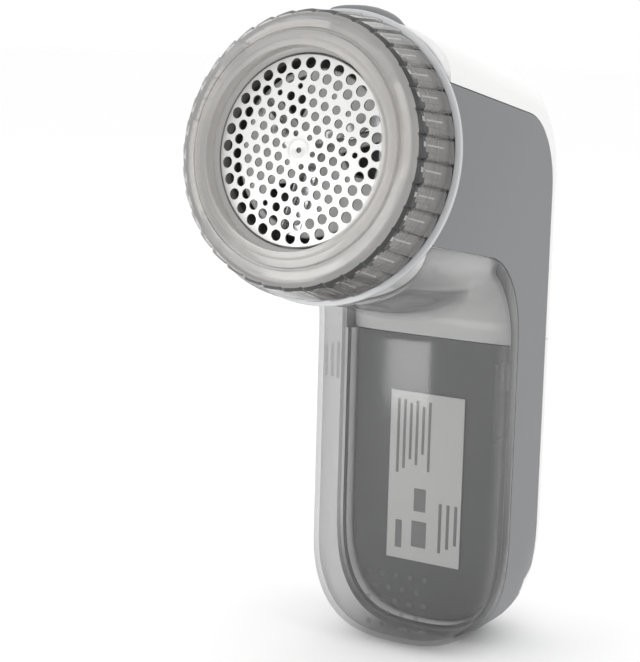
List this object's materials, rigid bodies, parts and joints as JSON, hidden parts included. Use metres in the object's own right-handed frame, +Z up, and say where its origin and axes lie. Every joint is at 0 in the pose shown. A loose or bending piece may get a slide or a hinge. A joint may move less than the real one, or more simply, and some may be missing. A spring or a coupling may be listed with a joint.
{
  "type": "fabric shaver",
  "caption": "Battery fabric shaver with a round cutting head, a height ring, spinning blades and a see-through lint bin that slides off the handle.",
  "frame": {"origin": "middle of the footprint, at the height of the handle's lower end", "axes": "+Z up along the handle, the shaving face looks towards -Y and 10 degrees upwards, +X to the right seen from the front"},
  "size_m": [0.078, 0.1088, 0.1844],
  "materials": {
    "white_plastic": "glossy white moulded ABS",
    "grey_plastic": "satin grey moulded ABS",
    "dark_plastic": "dark moulded plastic",
    "smoky_clear": "smoky transparent plastic",
    "collar_silver": "silver-grey trim",
    "foil_metal": "bright stamped steel",
    "blade_steel": "ground steel",
    "spring_steel": "nickel-plated steel",
    "brass": "laminated core and winding",
    "label_paper": "silver-grey sticker",
    "cell_wrap": "printed cell wrapper",
    "board_green": "circuit board",
    "wire_red": "insulated wire",
    "wire_black": "insulated wire"
  },
  "bodies": {
    "handle": {"main_housing": "white_plastic", "side_shell_left": "grey_plastic", "side_shell_right": "grey_plastic", "handle_liner": "white_plastic", "battery_tray": "grey_plastic", "head_collar": "collar_silver", "cutter_housing": "white_plastic", "motor_can": "spring_steel", "motor_end_cap": "dark_plastic", "motor_screw_1": "spring_steel", "motor_screw_2": "spring_steel", "slide_switch": "dark_plastic", "circuit_board": "board_green", "safety_switch": "dark_plastic", "battery_1": "cell_wrap", "battery_2": "cell_wrap", "battery_spring_1": "spring_steel", "battery_spring_2": "spring_steel", "contact_bottom": "spring_steel", "contact_top_1": "spring_steel", "contact_top_2": "spring_steel", "battery_wire_red": "wire_red", "battery_wire_black": "wire_black", "motor_wire_red": "wire_red", "motor_wire_black": "wire_black", "rating_label": "label_paper", "shell_screw_1": "spring_steel", "shell_screw_2": "spring_steel", "shell_screw_3": "spring_steel", "shell_screw_4": "spring_steel"},
    "spacer": {"spacer_ring": "smoky_clear"},
    "foil_unit": {"foil": "foil_metal", "foil_retainer": "grey_plastic"},
    "rotor": {"blade_carrier": "white_plastic", "blade_1": "blade_steel", "blade_2": "blade_steel", "blade_3": "blade_steel", "blade_cap": "white_plastic", "drive_coupling": "dark_plastic", "motor_shaft": "blade_steel", "motor_armature": "brass"},
    "knob": {"switch_knob": "grey_plastic"},
    "bin": {"lint_bin": "smoky_clear"},
    "cover": {"battery_cover": "white_plastic"},
    "plunger": {"safety_plunger": "dark_plastic"}
  },
  "joints": [
    {"name": "spacer_ring_height", "type": "slide", "parent": "handle", "child": "spacer", "axis": [0, -0.9848, 0.1736], "range_m": [0, 0.006]},
    {"name": "foil_twist", "type": "hinge", "parent": "handle", "child": "foil_unit", "pos_m": [0, -0.04504, 0.1473], "axis": [0, -0.9848, 0.1736], "range_deg": [0, 25]},
    {"name": "blade_spin", "type": "hinge", "parent": "handle", "child": "rotor", "pos_m": [0, -0.03913, 0.14626], "axis": [0, -0.9848, 0.1736], "continuous": true},
    {"name": "switch_slide", "type": "slide", "parent": "handle", "child": "knob", "axis": [0, 0.9848, -0.1736], "range_m": [0, 0.006]},
    {"name": "lint_bin_slide", "type": "slide", "parent": "handle", "child": "bin", "axis": [0, 0, -1], "range_m": [0, 0.06]},
    {"name": "battery_cover_slide", "type": "slide", "parent": "handle", "child": "cover", "axis": [0, 1, 0], "range_m": [0, 0.03]},
    {"name": "safety_plunger_press", "type": "slide", "parent": "handle", "child": "plunger", "axis": [0, 0.9848, -0.1736], "range_m": [0, 0.0012], "stiffness_N_per_m": 200}
  ]
}
